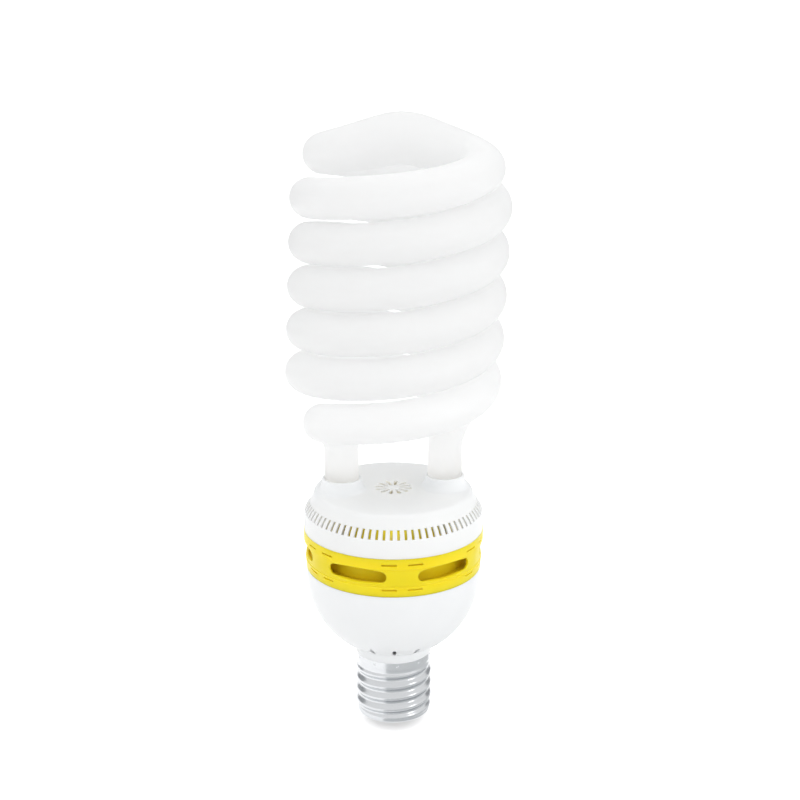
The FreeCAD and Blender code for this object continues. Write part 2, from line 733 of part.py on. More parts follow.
def bowl_shell():
    """Turned body of the bowl, its neck and the spigot that enters the cap."""
    outer, foot, rim = bowl_curve(0)
    inner, foot_in, rim_in = bowl_curve(WALL)
    spigot = CAP_MEAN_R - CAP_WAVE - CAP_SHEET - SLIDE
    skirt = CAP_SKIRT_R - CAP_SHEET - SLIDE
    hollow = spigot - WALL
    spigot_z = GLASS_TOP_Z + SPIGOT_LIFT
    below = [foot, rv(NECK_R, CAP_TOP_Z), rv(skirt, CAP_TOP_Z), rv(skirt, CAP_SKIRT_Z + SPIGOT_EASE),
             rv(spigot, CAP_THREAD_Z1 + SLIDE), rv(spigot, spigot_z), rv(hollow, spigot_z),
             rv(hollow, NECK_TOP_Z - NECK_FLOOR), foot_in]
    tongue_z = FLOOR_Z - SLIDE
    above = [rim_in, rv(TONGUE_R - WALL, BOWL_TOP_Z + TONGUE_STEP), rv(TONGUE_R - WALL, tongue_z),
             rv(TONGUE_R, tongue_z), rv(TONGUE_R, BOWL_TOP_Z), rim]
    return turned(Part.__sortEdges__([outer, inner] + lines(below) + lines(above)))


def board_rib():
    """Rib that carries the edge of the circuit board."""
    inside = BOARD_R - RIB_REACH
    ledge = BOARD_R - LAP
    outside = TONGUE_R - WALL / 2
    low = BOARD_Z - RIB_H
    step = FLOOR_Z - RIB_STEP
    profile = [(inside, low), (outside, low + RIB_SLOPE), (outside, step), (ledge, step), (ledge, BOARD_Z),
               (inside, BOARD_Z)]
    corners = [V(r, -RIB_T / 2, z) for r, z in profile]
    return Part.Face(Part.makePolygon(corners + corners[:1])).extrude(V(0, RIB_T, 0))


def neck_vent():
    """Cutter for one small slot above the neck."""
    middle = NECK_TOP_Z + NECK_VENT_LIFT
    outline = racetrack(NECK_R - WALL / 2, NECK_VENT_W / 2, NECK_VENT_H / 2, middle, True)
    return Part.Face(outline).extrude(V(BOWL_R - NECK_R, 0, 0))


def lower_bowl():
    tap = Part.makeCylinder(WIRE_R + TAP_CLEAR, NECK_R, V(0, -NECK_R / 2, NEUTRAL_Z), V(0, -1, 0))
    body = bowl_shell().fuse(spun(board_rib(), RIBS, 45))
    return one_solid(body.cut(Part.makeCompound(spun(neck_vent(), NECK_VENTS, NECK_VENT_START) + [tap])))


# Screw cap

def thread_path():
    """Path of the centre of the circle that sweeps the thread."""
    points = []
    count = int(CAP_THREAD_H / CAP_PITCH * THREAD_POINTS)
    for k in range(count + 1):
        h = CAP_THREAD_H * k / count
        s = min(1.0, min(h, CAP_THREAD_H - h) / CAP_FADE)
        e = CAP_WAVE * s * s * (3 - 2 * s)
        a = 2 * math.pi * (h - CAP_CREST_H) / CAP_PITCH - math.pi / 2
        points.append(V(e * math.cos(a), e * math.sin(a), CAP_THREAD_Z0 + h))
    curve = Part.BSplineCurve()
    curve.interpolate(points)
    return Part.Wire([curve.toShape()])


def thread_faces(radius):
    """Side of a column whose round section wanders along the thread."""
    sweep = Part.BRepOffsetAPI.MakePipeShell(thread_path())
    sweep.setTrihedronMode(V(0, 0, 0), AXIS)
    sweep.add(Part.Wire([Part.Circle(V(0, 0, CAP_THREAD_Z0), AXIS, radius).toShape()]))
    sweep.build()
    return sweep.shape().Faces


def bent_edge(r, bend, z):
    """Quarter bend of the cap's lower edge, from the wall to the flat at height z."""
    k = bend * (1 - math.sqrt(0.5))
    return arc(rv(r, z + bend), rv(r - k, z + k), rv(r - bend, z))


def punch_mark():
    """Cutter for one dimple of the skirt."""
    reach = CAP_SKIRT_R + DIMPLE_BALL - DIMPLE_DEPTH
    return Part.makeSphere(DIMPLE_BALL, V(reach, 0, CAP_TOP_Z - DIMPLE_DROP))


def screw_shell():
    """Drawn sheet: plain skirt, rolled thread and turned-in lip, with the punch marks."""
    inside = CAP_MEAN_R - CAP_SHEET
    skirt_in = CAP_SKIRT_R - CAP_SHEET
    flat_r = CAP_MEAN_R - CAP_BEND
    lip_top = CAP_LIP_Z + CAP_SHEET
    skirt = [rv(CAP_MEAN_R, CAP_THREAD_Z1), rv(CAP_SKIRT_R, CAP_SKIRT_Z), rv(CAP_SKIRT_R, CAP_TOP_Z),
             rv(skirt_in, CAP_TOP_Z), rv(skirt_in, CAP_SKIRT_Z), rv(inside, CAP_THREAD_Z1)]
    lip = [rv(flat_r, CAP_LIP_Z), rv(CAP_LIP_R, CAP_LIP_Z), rv(CAP_LIP_R, lip_top), rv(flat_r, lip_top)]
    bends = [bent_edge(CAP_MEAN_R, CAP_BEND, CAP_LIP_Z), bent_edge(inside, CAP_BEND - CAP_SHEET, lip_top)]
    faces = thread_faces(CAP_MEAN_R) + thread_faces(inside)
    for edge in lines(skirt) + lines(lip) + bends:
        faces += edge.revolve(V(0, 0, 0), AXIS, 360).Faces
    return one_solid(sewn(faces).cut(spun(punch_mark(), DIMPLES, -90)))


def cap_insulator():
    throat = CAP_LIP_R - SLIDE
    ledge = CAP_LIP_Z + CAP_SHEET
    flange = CAP_LIP_R + GLASS_FLANGE
    rim = CONTACT_R + GLASS_RIM
    bore = SHANK_R + SLIDE / 2
    return turned_points([(bore, CONTACT_H), (rim, CONTACT_H), (throat, CAP_LIP_Z - GLASS_EDGE),
                          (throat, ledge), (flange, ledge), (flange, ledge + GLASS_FLANGE_T),
                          (flange - GLASS_SLOPE, GLASS_TOP_Z), (bore, GLASS_TOP_Z)])


def centre_contact():
    bore = WIRE_R + WIRE_BORE
    k = CONTACT_EDGE * (1 - math.sqrt(0.5))
    rim = arc(rv(CONTACT_R - CONTACT_EDGE, 0), rv(CONTACT_R - k, k), rv(CONTACT_R, CONTACT_EDGE))
    above = [rv(CONTACT_R, CONTACT_EDGE), rv(CONTACT_R, CONTACT_H), rv(SHANK_R, CONTACT_H),
             rv(SHANK_R, GLASS_TOP_Z), rv(bore, GLASS_TOP_Z), rv(bore, CONTACT_FLOOR), rv(0, CONTACT_FLOOR),
             rv(0, 0), rv(CONTACT_R - CONTACT_EDGE, 0)]
    return turned([rim] + lines(above))


# Leads, pins and wires

def socket_cement(x):
    return pipe_ring(CUP_R, LEG_R, LEG_Z + CEMENT_LIFT, PLATE_UNDER, x)


def circuit_board():
    return rod(BOARD_R, BOARD_Z, BOARD_TOP)


def wrap_pin(x, y):
    return centred_block(x, y, PIN_W, PIN_W, BOARD_TOP, PIN_TOP)


def tube_lead(x, y):
    """Lead from the end of the glass, wound on its pin."""
    foot = PIN_TOP - WRAP_DROP
    wrap = pipe_ring(WRAP_IN + WRAP_T, WRAP_IN, foot, foot + WRAP_H, x, y)
    inward = math.copysign(WRAP_IN + WRAP_T / 2, -y)
    wire = rod(LEAD_R, foot + WRAP_H / 2, LEG_Z, x, y + inward)
    return one_solid(wrap.fuse(wire))


def live_wire():
    return rod(WIRE_R, CONTACT_FLOOR, BOARD_Z)


def bent_wire(start, corner, end, bend, radius):
    """Round wire with one right-angled bend."""
    u = (start - corner).normalize()
    w = (end - corner).normalize()
    a = corner + u * bend
    b = corner + w * bend
    mid = corner + (u + w) * (bend * (1 - math.sqrt(0.5)))
    path = Part.Wire([line(start, a), arc(a, mid, b), line(b, end)])
    ring = Part.Wire([Part.Circle(start, u, radius).toShape()])
    return path.makePipeShell([ring], True, False)


def neutral_wire():
    """Wire from the board, round a bend, through the neck to the inside of the cap."""
    reach = CAP_SKIRT_R - CAP_SHEET - SLIDE / 4
    corner = V(0, NEUTRAL_Y, NEUTRAL_Z)
    return bent_wire(V(0, NEUTRAL_Y, BOARD_Z), corner, V(0, -reach, NEUTRAL_Z), WIRE_BEND, WIRE_R)


# Components of the ballast

def filter_capacitor(x):
    """Electrolytic can hanging from the board, with its rolled groove."""
    foot = BOARD_Z - CAN_H
    groove = BOARD_Z - CAN_BEAD_Z
    neck = CAN_R - CAN_BEAD
    can = turned_points([(0, foot), (CAN_R - CAN_EDGE, foot), (CAN_R, foot + CAN_EDGE),
                         (CAN_R, groove - CAN_EDGE), (neck, groove), (CAN_R, groove + CAN_EDGE),
                         (CAN_R, BOARD_Z - CAN_BEAD), (neck, BOARD_Z), (0, BOARD_Z)])
    can.translate(V(x, CAN_PLACE, 0))
    return can


CHOKE_TOP = BOARD_Z - CHOKE_GAP
WINDOW_Z0 = CHOKE_TOP - CORE_H + CORE_YOKE
WINDOW_Z1 = CHOKE_TOP - CORE_YOKE
BOBBIN_Z0 = WINDOW_Z0 + SLIDE / 2
BOBBIN_Z1 = WINDOW_Z1 - SLIDE / 2
BOBBIN_BORE = CORE_T + SLIDE
BOBBIN_W = BOBBIN_BORE + 2 * BOBBIN_WALL
BOBBIN_D = BOBBIN_W + 2 * SLIDE


def choke_core():
    core = centred_block(0, CHOKE_Y, CORE_W, CORE_T, CHOKE_TOP - CORE_H, CHOKE_TOP)
    aside = (CORE_T + CORE_WINDOW) / 2
    windows = [centred_block(x, CHOKE_Y, CORE_WINDOW, 2 * CORE_T, WINDOW_Z0, WINDOW_Z1)
               for x in (-aside, aside)]
    return one_solid(core.cut(windows))


def choke_bobbin():
    tube = centred_block(0, CHOKE_Y, BOBBIN_W, BOBBIN_D, BOBBIN_Z0, BOBBIN_Z1)
    plates = [centred_block(0, CHOKE_Y, BOBBIN_PLATE_W, BOBBIN_PLATE_D, z, z + BOBBIN_PLATE_T)
              for z in (BOBBIN_Z0, BOBBIN_Z1 - BOBBIN_PLATE_T)]
    foot_x = (BOBBIN_PLATE_W - BOBBIN_FOOT) / 2 - BOBBIN_FOOT_INSET
    foot_y = (BOBBIN_PLATE_D - BOBBIN_FOOT) / 2 - BOBBIN_FOOT_INSET / 2
    feet = [centred_block(x, CHOKE_Y + y, BOBBIN_FOOT, BOBBIN_FOOT, BOBBIN_Z1 - BOBBIN_PLATE_T, BOARD_Z)
            for x in (-foot_x, foot_x) for y in (-foot_y, foot_y)]
    bore = centred_block(0, CHOKE_Y, BOBBIN_BORE, BOBBIN_BORE, BOBBIN_Z0 - WALL, BOBBIN_Z1 + WALL)
    return one_solid(tube.fuse(plates + feet).cut(bore))


def choke_winding():
    z0 = BOBBIN_Z0 + BOBBIN_PLATE_T
    z1 = BOBBIN_Z1 - BOBBIN_PLATE_T
    coil = centred_block(0, CHOKE_Y, BOBBIN_PLATE_W - 2 * WINDING_INSET, WINDING_DEPTH, z0, z1)
    upright = [e for e in coil.Edges if e.BoundBox.ZLength > BOBBIN_PLATE_T]
    coil = coil.makeFillet(WINDING_ROUND, upright)
    return coil.cut(centred_block(0, CHOKE_Y, BOBBIN_W, BOBBIN_D, z0, z1))


def drive_toroid():
    top = BOARD_Z - TOROID_WIRE
    return pipe_ring(TOROID_R, TOROID_BORE, top - TOROID_H, top, *TOROID_PLACE)


def drive_winding():
    """Turns of wire over part of the toroid."""
    foot = BOARD_Z - 2 * TOROID_WIRE - TOROID_H
    turns = sector(TOROID_BORE - TOROID_WIRE, TOROID_R + TOROID_WIRE, foot, BOARD_Z, *TOROID_TURNS)
    turns.translate(V(TOROID_PLACE[0], TOROID_PLACE[1], 0))
    return one_solid(turns.cut(drive_toroid()))


def heat_sink():
    """Plate behind the transistors."""
    return block(SINK_X - SINK_T, SINK_X, -SINK_W / 2, SINK_W / 2, BOARD_Z - SINK_H, BOARD_Z)


def transistor(y):
    """Power transistor with its tab on the heat sink."""
    top = BOARD_Z - TRANSISTOR_LEG
    foot = top - TRANSISTOR_BODY
    y0 = y - TRANSISTOR_W / 2
    y1 = y + TRANSISTOR_W / 2
    body = block(SINK_X, SINK_X + TRANSISTOR_T, y0, y1, foot, top)
    tab = block(SINK_X, SINK_X + TRANSISTOR_TAB_T, y0, y1, foot - TRANSISTOR_TAB, foot)
    leg_x = SINK_X + TRANSISTOR_LEG_X + TRANSISTOR_LEG_T / 2
    legs = [centred_block(leg_x, y + k * TRANSISTOR_PITCH, TRANSISTOR_LEG_T, TRANSISTOR_LEG_W, top, BOARD_Z)
            for k in (-1, 0, 1)]
    return one_solid(body.fuse([tab] + legs))


def film_capacitor(y, width, length, height):
    """Dipped film capacitor near the right edge of the board."""
    body = centred_block(BOARD_R - FILM_INSET, y, width, length, BOARD_Z - height, BOARD_Z)
    round_edges = [e for e in body.Edges if e.BoundBox.ZMin < BOARD_Z - height / 2]
    return body.makeFillet(FILM_ROUND, round_edges)


def input_choke_core():
    foot = BOARD_Z - DRUM_H
    low = foot + DRUM_PLATE
    high = BOARD_Z - DRUM_PLATE
    drum = turned_points([(0, foot), (DRUM_R, foot), (DRUM_R, low), (DRUM_CORE_R, low), (DRUM_CORE_R, high),
                          (DRUM_R, high), (DRUM_R, BOARD_Z), (0, BOARD_Z)])
    drum.translate(V(DRUM_X, DRUM_Y, 0))
    return drum


def input_choke_winding():
    foot = BOARD_Z - DRUM_H + DRUM_PLATE
    return pipe_ring(DRUM_R - DRUM_FILL, DRUM_CORE_R, foot, BOARD_Z - DRUM_PLATE, DRUM_X, DRUM_Y)


def axial_part(x, y, size, way):
    """Body lying on the board with a bent lead at each end."""
    radius, length = size
    middle = V(x, y, BOARD_Z - radius)
    body = Part.makeCylinder(radius, length, middle - way * (length / 2), way)
    leads = []
    for end in (way, way * -1.0):
        root = middle + end * (length / 2 - AXIAL_ROOT)
        corner = middle + end * (length / 2 + AXIAL_STUB)
        leads.append(bent_wire(root, corner, corner + AXIS * radius, AXIAL_BEND, LEAD_R))
    return one_solid(body.fuse(leads))


def build():
    os.makedirs("parts", exist_ok=True)
    across = V(1, 0, 0)
    along = V(0, 1, 0)
    save("discharge_tube", discharge_tube())
    save("upper_cover", upper_cover())
    save("vent_ring", vent_ring())
    save("lower_bowl", lower_bowl())
    save("screw_shell", screw_shell())
    save("cap_insulator", cap_insulator())
    save("centre_contact", centre_contact())
    save("socket_cement_left", socket_cement(-LEG_X))
    save("socket_cement_right", socket_cement(LEG_X))
    save("circuit_board", circuit_board())
    save("filter_capacitor_left", filter_capacitor(-CAN_PLACE))
    save("filter_capacitor_right", filter_capacitor(CAN_PLACE))
    save("choke_core", choke_core())
    save("choke_bobbin", choke_bobbin())
    save("choke_winding", choke_winding())
    save("drive_toroid", drive_toroid())
    save("drive_winding", drive_winding())
    save("transistor_front", transistor(-TRANSISTOR_Y))
    save("transistor_back", transistor(TRANSISTOR_Y))
    save("heat_sink", heat_sink())
    save("resonant_capacitor", film_capacitor(RESONANT_Y, *RESONANT_SIZE))
    save("coupling_capacitor", film_capacitor(COUPLING_Y, *COUPLING_SIZE))
    save("input_choke_core", input_choke_core())
    save("input_choke_winding", input_choke_winding())
    save("fuse_resistor", axial_part(*FUSE_PLACE, FUSE_SIZE, across))
    for k in range(DIODES):
        x = DIODE_GAP * (k - (DIODES - 1) / 2)
        save("rectifier_diode_%d" % (k + 1), axial_part(x, BOARD_R - DIODE_INSET, DIODE_SIZE, along))
    save("start_diac", axial_part(0.0, DIAC_INSET - BOARD_R, DIAC_SIZE, across))
    for k, (x, y) in enumerate(LEAD_PLACES):
        save("wrap_pin_%d" % (k + 1), wrap_pin(x, y))
        save("tube_lead_%d" % (k + 1), tube_lead(x, y))
    save("live_wire", live_wire())
    save("neutral_wire", neutral_wire())


build()
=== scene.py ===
# %% [markdown]
# A spiral energy saving bulb
#
# The bulb is a glass tube wound as a double helix, standing on a vented plastic housing with a
# big screw cap. The housing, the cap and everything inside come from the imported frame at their
# real size. This lesson gives each of them its finish. It models the glass again as one even,
# smooth tube, because glass shows every flat facet that a coarser mesh would have. It also models
# the cover of the housing again, with a thin wall and the soft edges of a moulding.

# %% Load the fixed frame
import bmesh
import bpy
import json
import math
from mathutils import Matrix, Vector


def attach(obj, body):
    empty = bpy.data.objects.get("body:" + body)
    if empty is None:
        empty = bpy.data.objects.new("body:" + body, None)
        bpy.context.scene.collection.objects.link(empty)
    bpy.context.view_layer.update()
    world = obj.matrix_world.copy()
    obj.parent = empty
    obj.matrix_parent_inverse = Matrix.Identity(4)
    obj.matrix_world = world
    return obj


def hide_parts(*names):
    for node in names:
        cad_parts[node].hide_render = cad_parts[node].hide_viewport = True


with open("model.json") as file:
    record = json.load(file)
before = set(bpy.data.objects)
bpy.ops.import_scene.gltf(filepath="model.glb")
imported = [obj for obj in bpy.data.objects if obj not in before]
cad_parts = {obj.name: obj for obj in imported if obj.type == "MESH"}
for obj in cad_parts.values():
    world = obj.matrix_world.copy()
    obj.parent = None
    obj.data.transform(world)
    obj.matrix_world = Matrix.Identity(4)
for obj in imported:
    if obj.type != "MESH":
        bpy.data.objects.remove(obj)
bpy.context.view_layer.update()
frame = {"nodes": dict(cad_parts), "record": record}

MM = 0.001
nodes = frame["nodes"]

# %% [markdown]
# Camera
#
# The bulb was photographed from a little above, with a long lens. A long lens far away keeps the
# housing and the coil in proportion, where a short one close by would swell the nearer band.
# The place and the angles were solved from the rings of the housing, whose real sizes are known.

# %% Place the camera
CAMERA_PLACE = (-73.48, -760.15, 410.08)
CAMERA_PITCH = 72.85
CAMERA_YAW = -5.77
CAMERA_LENS = 72.53

lens = bpy.data.cameras.new("camera")
lens.lens = CAMERA_LENS
camera = bpy.data.objects.new("camera", lens)
camera.location = Vector(CAMERA_PLACE) * MM
camera.rotation_euler = (math.radians(CAMERA_PITCH), 0.0, math.radians(CAMERA_YAW))
scene = bpy.context.scene
scene.collection.objects.link(camera)
scene.camera = camera
scene.view_settings.view_transform = "Standard"
print("camera: %.0f mm from the axis" % (camera.location.xy.length / MM))

# %% [markdown]
# Colours and nodes
#
# Colours are written as sRGB hex values. Blender's shaders work with linear light, and one function
# makes the change. A second small function adds any node with its settings and its links, so that
# each material below reads as a short list of nodes.

# %% Two helpers for materials


def linear(code):
    """Linear RGBA of an sRGB hex value."""
    parts = [int(code[k:k + 2], 16) / 255.0 for k in (1, 3, 5)]
    return tuple(c / 12.92 if c <= 0.04045 else ((c + 0.055) / 1.055) ** 2.4 for c in parts) + (1.0,)


def add(tree, kind, inputs=None, **settings):
    """Add a node; an input is a value, or an output socket to link."""
    node = tree.nodes.new(kind)
    for name, value in settings.items():
        setattr(node, name, value)
    for key, value in (inputs or {}).items():
        if isinstance(value, bpy.types.NodeSocket):
            tree.links.new(value, node.inputs[key])
        else:
            node.inputs[key].default_value = value
    return node


print("white #ffffff is linear", linear("#ffffff"))

# %% [markdown]
# Studio
#
# The photograph is a catalogue picture: soft light from all round on a white ground, more of it
# from above and a little more from the right. The world gives the light from all round, brighter
# towards the top, and one large panel gives the rest. What the camera and the reflections see of
# the world is plain white, and this costs no extra light on the bulb.

# %% World and panel
SKY_LOW = 0.81
SKY_TOP = 1.37
PANEL_PLACE = Vector((0.95, -0.80, 0.45))
PANEL_SIZE = 0.35
PANEL_POWER = 1.2
TARGET = Vector((0.0, 0.0, 0.17))


def seen_rays(tree):
    """1 for a ray from the camera, a reflection or a transmission, 0 for plain light."""
    rays = add(tree, "ShaderNodeLightPath").outputs
    seen = add(tree, "ShaderNodeMath", {0: rays["Is Camera Ray"], 1: rays["Is Glossy Ray"]},
               operation="MAXIMUM").outputs[0]
    return add(tree, "ShaderNodeMath", {0: seen, 1: rays["Is Transmission Ray"]},
               operation="MAXIMUM").outputs[0]


world = bpy.data.worlds.new("studio")
scene.world = world
world.use_nodes = True
tree = world.node_tree
way = add(tree, "ShaderNodeTexCoord").outputs["Generated"]
height = add(tree, "ShaderNodeSeparateXYZ", {0: way}).outputs["Z"]
sky = add(tree, "ShaderNodeMapRange", {0: height, 3: SKY_LOW, 4: SKY_TOP}).outputs[0]
level = add(tree, "ShaderNodeMix", {0: seen_rays(tree), 2: sky, 3: 1.0}).outputs[0]
tree.links.new(level, tree.nodes["Background"].inputs["Strength"])
tree.nodes["Background"].inputs["Color"].default_value = linear("#ffffff")

lamp = bpy.data.lights.new("panel_right", "AREA")
lamp.shape = "SQUARE"
lamp.size = PANEL_SIZE
lamp.energy = PANEL_POWER
panel = bpy.data.objects.new("panel_right", lamp)
panel.location = PANEL_PLACE
panel.rotation_euler = (TARGET - PANEL_PLACE).to_track_quat("-Z", "Y").to_euler()
scene.collection.objects.link(panel)
print("panel: %.1f W at %.2f m" % (PANEL_POWER, (TARGET - PANEL_PLACE).length))

# %% [markdown]
# Light inside the housing
#
# The white walls are thin, and light soaks through them, so the slits of the real bulb show a lit
# yellow deck and not a black hole. Scatter through every wall would cost long renders. A faint soft
# lamp inside the cover stands in for it.

# %% Lamp for the soaked light
SOAK_PLACE = Vector((0.0, 0.0, 0.115))
SOAK_SIZE = 0.008
SOAK_POWER = 0.004

soak_lamp = bpy.data.lights.new("soaked_light", "POINT")
soak_lamp.energy = SOAK_POWER
soak_lamp.shadow_soft_size = SOAK_SIZE
soak = bpy.data.objects.new("soaked_light", soak_lamp)
soak.location = SOAK_PLACE
soak.visible_camera = False
scene.collection.objects.link(soak)
print("soaked light: %.3f W" % SOAK_POWER)

# %% [markdown]
# Floor
#
# A white paper sweep. The paper is lit like the bulb, so it takes a soft shadow under the cap,
# and what the camera sees of it is lifted so that the open paper is as white as the background.

# %% Paper floor
FLOOR_SIZE = 30.0
FLOOR_LIFT = 0.45


def placed(name, bm):
    """Object in the scene from a finished bmesh."""
    mesh = bpy.data.meshes.new(name)
    bm.to_mesh(mesh)
    bm.free()
    piece = bpy.data.objects.new(name, mesh)
    scene.collection.objects.link(piece)
    return piece


def stage_piece(name, bm):
    """Object of the studio from a finished bmesh."""
    piece = placed(name, bm)
    return piece


def surface(name, **values):
    """New material with plain values set on its main shader; returns it, its tree and the shader."""
    material = bpy.data.materials.new(name)
    material.use_nodes = True
    tree = material.node_tree
    shader = tree.nodes["Principled BSDF"]
    for key, value in values.items():
        shader.inputs[key.replace("_", " ")].default_value = value
    return material, tree, shader


bm = bmesh.new()
bmesh.ops.create_grid(bm, x_segments=1, y_segments=1, size=FLOOR_SIZE)
floor = stage_piece("floor", bm)
paper, tree, shader = surface("white_paper", Roughness=0.9, Base_Color=linear("#eeeeee"),
                              Emission_Color=linear("#ffffff"))
lift = add(tree, "ShaderNodeMath", {0: seen_rays(tree), 1: FLOOR_LIFT}, operation="MULTIPLY")
tree.links.new(lift.outputs[0], shader.inputs["Emission Strength"])
floor.data.materials.append(paper)
print("floor: %.0f m square" % (2 * FLOOR_SIZE))

# %% [markdown]
# Grey cards
#
# Polished metal on a white ground reflects white everywhere and looks like plastic. A photographer
# lays a grey card beside it, and the card's edge draws the bright and the dark zone that tell the
# eye it is metal. White glass has the same trouble: its edges reflect the white wall behind it and
# fade out. A second card stands far behind the bulb and draws a thin grey line along each edge.
# Only reflections see the cards.

# %% Cards for the reflections
CARD_COLUMNS = 24
BELOW_LOW = (24.0, 0.4)
BELOW_HIGH = (420.0, 0.4)
BELOW_FIRST = -118.0
BELOW_TURN = 150.0
BEHIND_LOW = (900.0, 1.0)
BEHIND_HIGH = (900.0, 800.0)
BEHIND_FIRST = 20.0
BEHIND_TURN = 140.0


def swept(bm, profile, first, turn, columns, closed=False):
    """Sweep a profile of (radius, height) in millimetres round the axis, from an angle in radians."""
    points = [bm.verts.new(Vector((r, 0.0, z)) * MM) for r, z in profile]
    edges = [bm.edges.new(pair) for pair in zip(points, points[1:])]
    begin = Matrix.Rotation(first, 3, "Z")
    bmesh.ops.rotate(bm, verts=points, cent=(0, 0, 0), matrix=begin)
    bmesh.ops.spin(bm, geom=points + edges, cent=(0, 0, 0), axis=(0, 0, 1), angle=turn,
                   steps=columns, use_merge=closed)


def card(name, edge, first, turn, colour):
    """Card swept round the axis from an edge between two points; the angles are in degrees."""
    bm = bmesh.new()
    swept(bm, edge, math.radians(first), math.radians(turn), CARD_COLUMNS)
    piece = stage_piece(name, bm)
    piece.data.materials.append(surface(name, Roughness=1.0, Base_Color=linear(colour))[0])
    piece.visible_camera = False
    piece.visible_diffuse = False
    piece.visible_transmission = False
    piece.visible_shadow = False
    print("card: %s, %.0f degrees" % (name, turn))


card("grey_card_below", (BELOW_LOW, BELOW_HIGH), BELOW_FIRST, BELOW_TURN, "#d8dadb")
card("grey_card_behind", (BEHIND_LOW, BEHIND_HIGH), BEHIND_FIRST, BEHIND_TURN, "#a2a4a6")

# %% [markdown]
# Coil of the glass tube
#
# The real tube is drawn glass, wound hot round a former in two strands. It could be screwed up from
# a circle, but only the even turns are a true screw: legs, bends and the bar over the top are not.
# A curve with a round bevel follows the whole route instead, and each of its points carries its own
# radius. The route is built one strand at a time, upright, and then leaned, because the glass of
# the real bulb stands a little out of true. The last part of the helix closes in a little.

# %% Coil of one strand
COIL_R = 43.6
COIL_PITCH = 43.05
COIL_BASE_Z = 166.7
COIL_LEAN = math.radians(2.5)
COIL_LEAN_Z = 187.5
BRIDGE_ANGLE = 1049.5
BRIDGE_R = 41.0
SHRINK_SPAN = 60.0


def smooth(share):
    """Share from 0 to 1 that starts and ends level."""
    return share * share * (3 - 2 * share)


def leaned(point):
    """Lean a point of the upright coil."""
    h = point.z - COIL_LEAN_Z
    return Vector((point.x * math.cos(COIL_LEAN) + h * math.sin(COIL_LEAN), point.y,
                   COIL_LEAN_Z + h * math.cos(COIL_LEAN) - point.x * math.sin(COIL_LEAN)))


def coil_point(turn):
    """Upright strand; turn is in degrees from its own leg."""
    a = math.radians(180.0 + turn)
    closing = max(0.0, 1 - (BRIDGE_ANGLE - turn) / SHRINK_SPAN)
    r = COIL_R - (COIL_R - BRIDGE_R) * smooth(closing)
    return Vector((r * math.cos(a), r * math.sin(a), COIL_BASE_Z + COIL_PITCH * turn / 360.0))


print("coil: %.1f turns, up to %.1f mm" % (BRIDGE_ANGLE / 360.0, coil_point(BRIDGE_ANGLE).z))

# %% [markdown]
# Bar over the top
#
# Over the top each strand bends in sharply, and a bar joins the two. Half of it is enough, since
# the other half is the same turned round the axis. The height goes on with the slope of the helix,
# steepens along the bar and comes level at the axis.

# %% Half of the bar
BRIDGE_BEND = 13.0
BRIDGE_RISE = 11.8
BRIDGE_SLOPE = 0.27
BRIDGE_ROUND = 8.0


def bridge_rise(along, length):
    """Height over the start of the bar, at a way along its length."""
    climb = length - BRIDGE_ROUND
    top = BRIDGE_RISE - BRIDGE_SLOPE * BRIDGE_ROUND / 2
    slope = COIL_PITCH / (2 * math.pi * BRIDGE_R)
    t = min(along / climb, 1.0)
    bent = slope * (t ** 3 - 2 * t * t + t) + BRIDGE_SLOPE * (t ** 3 - t * t)
    past = max(0.0, along - climb)
    return climb * bent + top * smooth(t) + BRIDGE_SLOPE * past * (1 - past / (2 * BRIDGE_ROUND))


def bridge_point(share):
    """Upright half bar: a tight bend off the helix at 0, then straight to the axis at 1."""
    a0 = math.radians(180.0 + BRIDGE_ANGLE)
    reach = BRIDGE_R - BRIDGE_BEND
    bend = BRIDGE_BEND * (math.pi - math.acos(BRIDGE_BEND / reach))
    bar = math.sqrt(reach ** 2 - BRIDGE_BEND ** 2)
    along = share * (bend + bar)
    a = a0 + min(along, bend) / BRIDGE_BEND
    left = 1 - max(0.0, along - bend) / bar
    x = reach * math.cos(a0) + BRIDGE_BEND * math.cos(a)
    y = reach * math.sin(a0) + BRIDGE_BEND * math.sin(a)
    z = coil_point(BRIDGE_ANGLE).z + bridge_rise(along, bend + bar)
    return Vector((x * left, y * left, z))


print("bar: its middle is at %.1f mm" % bridge_point(1.0).z)

# %% [markdown]
# Legs and the whole route
#
# The legs are narrower than the coil and stand upright in the housing. Each goes over into its
# strand in one soft bend, in which the radius grows. The bar is a little swollen in the middle,
# where it was blown. The second strand is the first one turned by half a round, and run backwards.

# %% Route from foot to foot
LEG_X = 26.0
LEG_R = 8.6
LEG_Z = 118.4
LEG_TOP_Z = 149.0
LEG_POINTS = 12
JOIN_ANGLE = 65.0
JOIN_PULL = (20.0, 38.0)
JOIN_POINTS = 32
TUBE_R = 9.85
COIL_POINTS = 300
CROWN_R = 12.5
BRIDGE_POINTS = 64


def steps(first, last, count):
    """Evenly spaced values from first to last."""
    return [first + (last - first) * k / count for k in range(count + 1)]


def coil_route(flip):
    """Leaning points, with radii, from the end of a leg's bend to just before the axis."""
    rows = [(coil_point(turn), TUBE_R) for turn in steps(JOIN_ANGLE, BRIDGE_ANGLE, COIL_POINTS)]
    for t in steps(0.0, 1.0, BRIDGE_POINTS)[1:-1]:
        rows.append((bridge_point(t), TUBE_R + (CROWN_R - TUBE_R) * smooth(t)))
    return [(leaned(Vector((flip * p.x, flip * p.y, p.z))), r) for p, r in rows]


